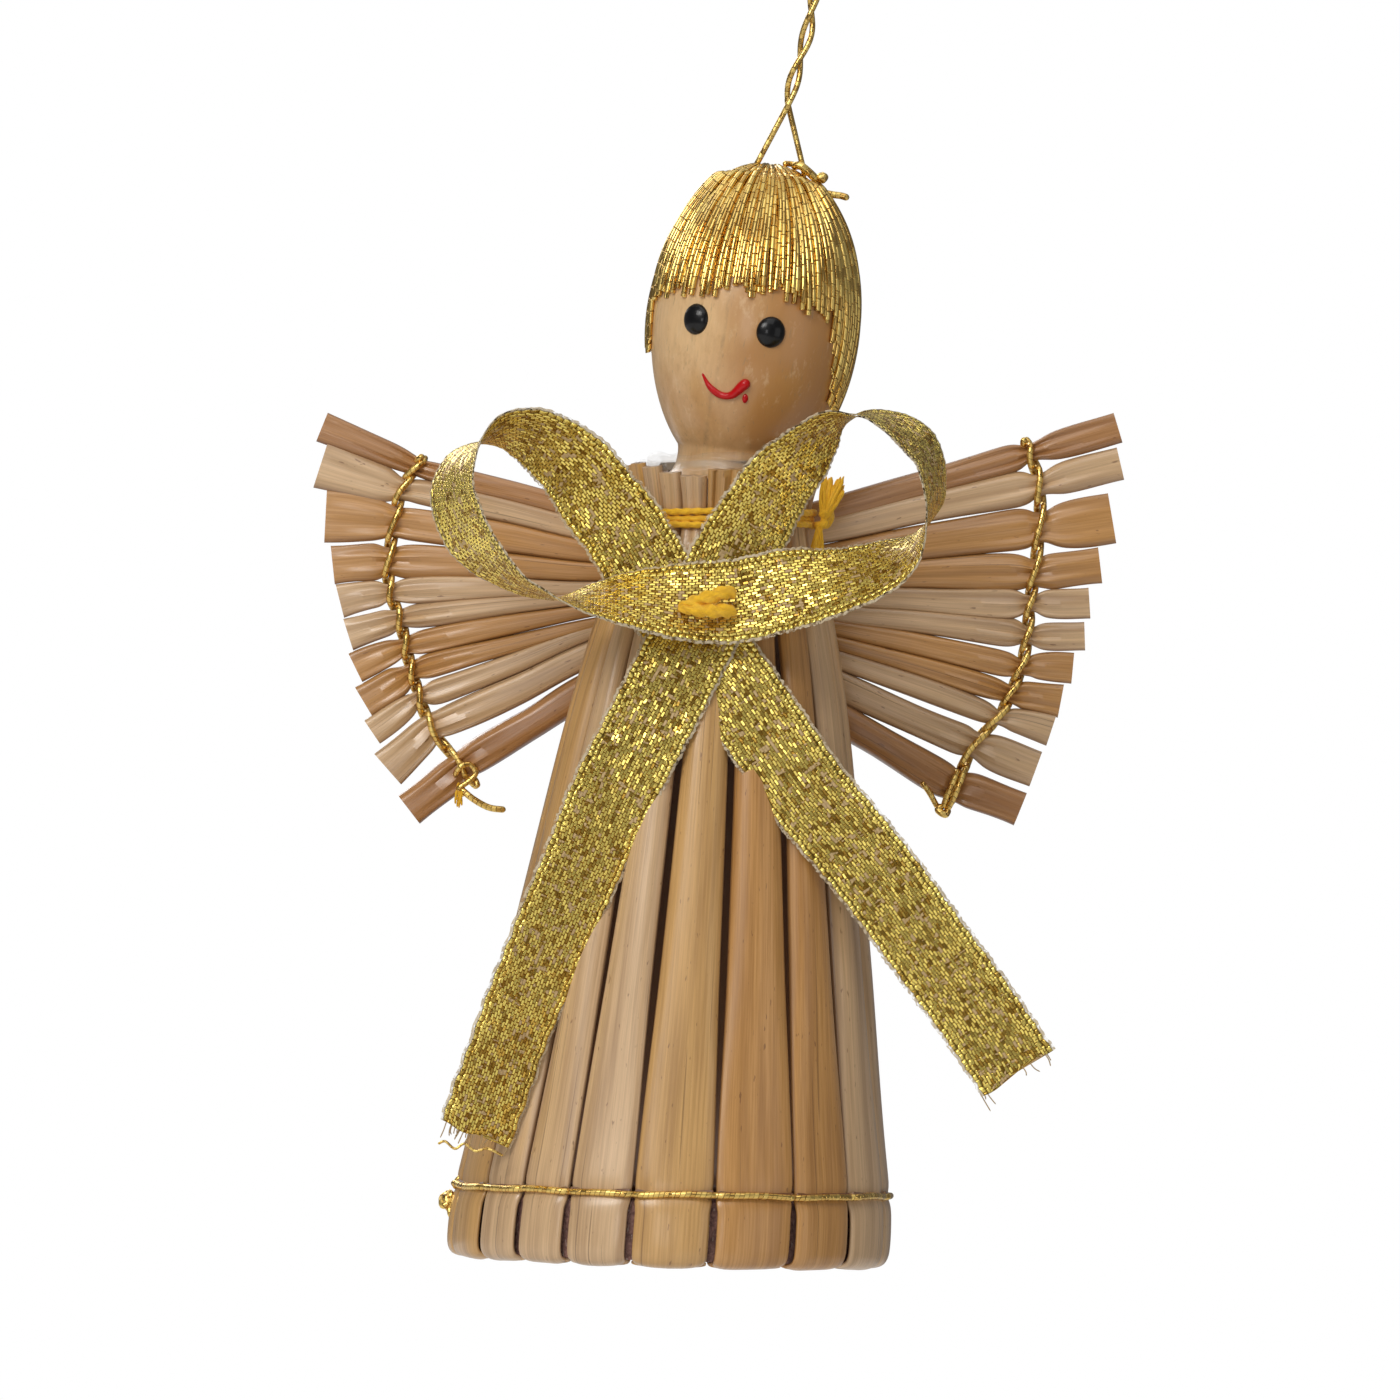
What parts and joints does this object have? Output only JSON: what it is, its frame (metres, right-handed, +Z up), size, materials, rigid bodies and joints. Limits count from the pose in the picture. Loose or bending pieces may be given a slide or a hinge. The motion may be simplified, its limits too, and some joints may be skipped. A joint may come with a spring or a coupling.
{
  "type": "straw angel ornament",
  "caption": "Hanging straw angel with a flared straw dress, fanned straw wings, a wooden head, thread hair and a ribbon bow.",
  "frame": {"origin": "inside top of the hanging loop, where it rests on a hook", "axes": "+Z up along the plumb cord, -Y towards the face, +X to the right as seen from the front"},
  "size_m": [0.0691, 0.037, 0.1201],
  "materials": {
    "straw_light": "satin flattened straw",
    "straw_tan": "satin flattened straw",
    "straw_gold": "satin flattened straw",
    "straw_brown": "satin flattened straw",
    "head_wood": "varnished",
    "black_paint": "gloss paint",
    "red_paint": "gloss paint",
    "hair_thread": "metallic thread",
    "gold_thread": "metallic thread",
    "cotton_thread": "matt cotton",
    "clear_glue": "clear",
    "grey_card": "matt card",
    "gold_ribbon": "woven metallic ribbon"
  },
  "bodies": {
    "hanger_loop": {"hanger_loop": "gold_thread"},
    "hanger_legs": {"hanger_legs": "gold_thread"},
    "angel": {"crown_knot": "gold_thread", "hair": "hair_thread", "head": "head_wood", "left_eye": "black_paint", "right_eye": "black_paint", "mouth": "red_paint", "neck_glue": "clear_glue", "neck_tie": "cotton_thread", "neck_tie_ends": "cotton_thread", "dress_straw_01": "straw_tan", "dress_straw_02": "straw_light", "dress_straw_03": "straw_light", "dress_straw_04": "straw_light", "dress_straw_05": "straw_gold", "dress_straw_06": "straw_tan", "dress_straw_07": "straw_tan", "dress_straw_08": "straw_light", "dress_straw_09": "straw_light", "dress_straw_10": "straw_light", "dress_straw_11": "straw_tan", "dress_straw_12": "straw_gold", "dress_straw_13": "straw_light", "dress_straw_14": "straw_tan", "dress_straw_15": "straw_light", "dress_straw_16": "straw_gold", "hem_hoop": "grey_card", "hem_thread": "gold_thread", "hem_thread_knot": "gold_thread", "wing_straw_01": "straw_brown", "wing_straw_02": "straw_light", "wing_straw_03": "straw_tan", "wing_straw_04": "straw_tan", "wing_straw_05": "straw_light", "wing_straw_06": "straw_light", "wing_straw_07": "straw_tan", "wing_straw_08": "straw_tan", "wing_straw_09": "straw_light", "wing_straw_10": "straw_light", "wing_straw_11": "straw_brown", "wing_tie": "cotton_thread", "wing_glue": "clear_glue", "left_wing_thread": "gold_thread", "left_wing_knot": "gold_thread", "right_wing_thread": "gold_thread", "right_wing_knot": "gold_thread", "bow_right_tail": "gold_ribbon", "bow_left_loop": "gold_ribbon", "bow_front_band": "gold_ribbon", "bow_right_loop": "gold_ribbon", "bow_left_tail": "gold_ribbon", "bow_stitch": "cotton_thread"}
  },
  "joints": [
    {"name": "cord_turn", "type": "hinge", "parent": "hanger_loop", "child": "hanger_legs", "pos_m": [0, 0, -0.0203], "axis": [0, 0, 1], "range_deg": [-180, 180]},
    {"name": "angel_swing", "type": "hinge", "parent": "hanger_legs", "child": "angel", "pos_m": [0, 0, -0.0255], "axis": [1, 0, 0], "range_deg": [-50, 50]}
  ]
}
